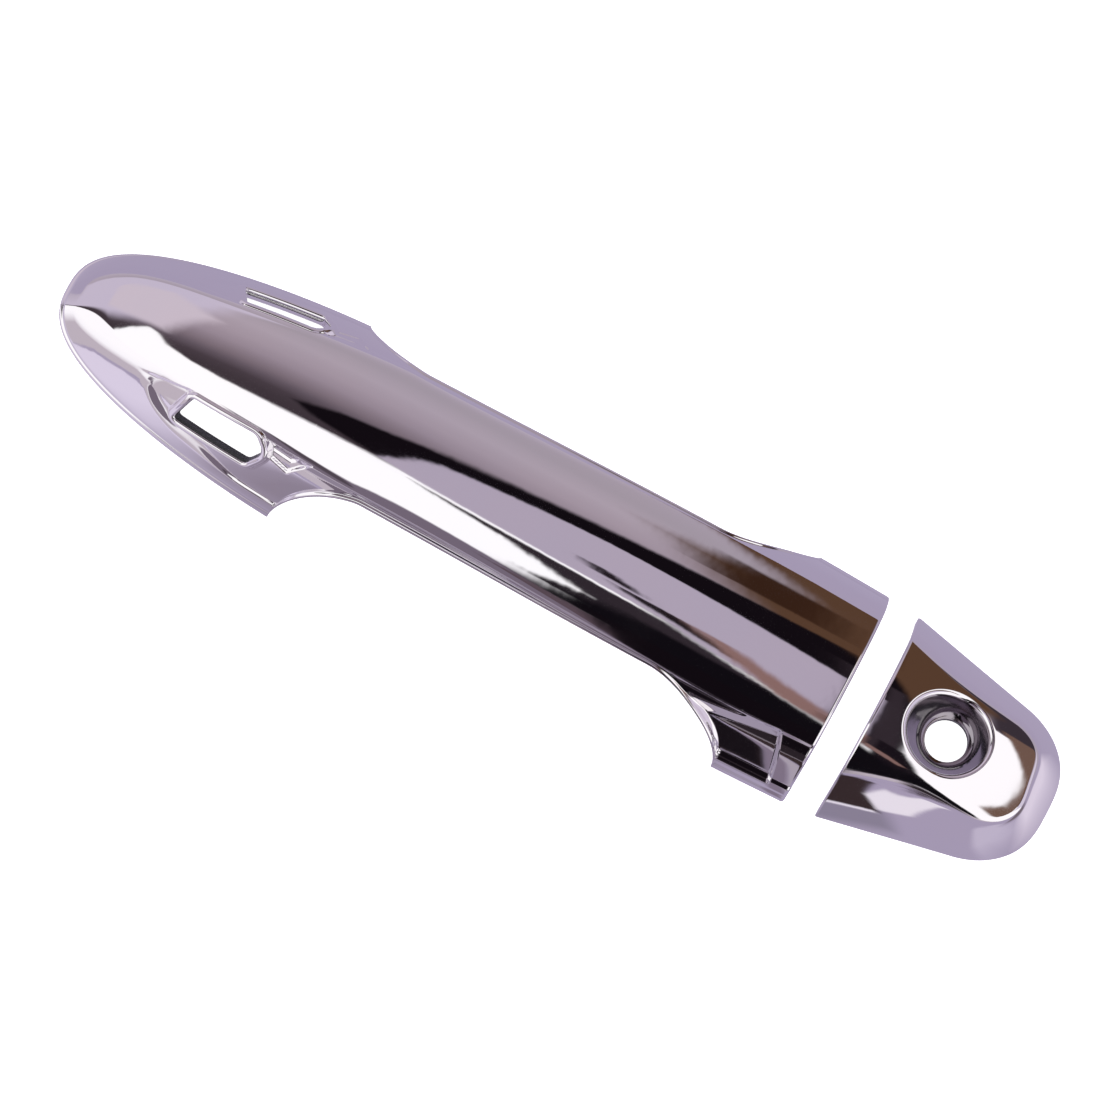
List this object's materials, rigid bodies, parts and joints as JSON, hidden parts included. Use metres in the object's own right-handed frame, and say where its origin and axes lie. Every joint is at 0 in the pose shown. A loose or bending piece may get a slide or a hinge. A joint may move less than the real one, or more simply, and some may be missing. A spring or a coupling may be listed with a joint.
{
  "type": "car door handle",
  "caption": "Chrome-plated car door handle trim: hollow bullet-nosed grip cover with side slots, and a separate keyhole cover with a dished through hole.",
  "frame": {"origin": "middle of the footprint, on the door skin", "axes": "+X from the nose of the grip cover to the rounded end of the keyhole cover, +Z away from the door, -Y the side with the near slot"},
  "size_m": [0.2548, 0.0564, 0.024],
  "materials": {
    "chrome_plate": "bright decorative chrome plate on moulded plastic",
    "foam_tape": "closed-cell acrylic foam tape, matt",
    "release_liner": "thin smooth release film"
  },
  "bodies": {
    "door_side": {"keyhole_cover": "chrome_plate", "near_keyhole_tape": "foam_tape", "far_keyhole_tape": "foam_tape", "end_keyhole_tape": "foam_tape", "near_keyhole_liner": "release_liner", "far_keyhole_liner": "release_liner", "end_keyhole_liner": "release_liner"},
    "pull_side": {"grip_cover": "chrome_plate", "nose_tape": "foam_tape", "front_foot_tape": "foam_tape", "near_grip_tape": "foam_tape", "far_grip_tape": "foam_tape", "near_rear_tape": "foam_tape", "far_rear_tape": "foam_tape", "nose_liner": "release_liner", "front_foot_liner": "release_liner", "near_grip_liner": "release_liner", "far_grip_liner": "release_liner", "near_rear_liner": "release_liner", "far_rear_liner": "release_liner"}
  },
  "joints": [
    {"name": "grip_pull", "type": "hinge", "parent": "door_side", "child": "pull_side", "pos_m": [-0.1274, 0, 0], "axis": [0, -1, 0], "range_deg": [0, 8]}
  ]
}
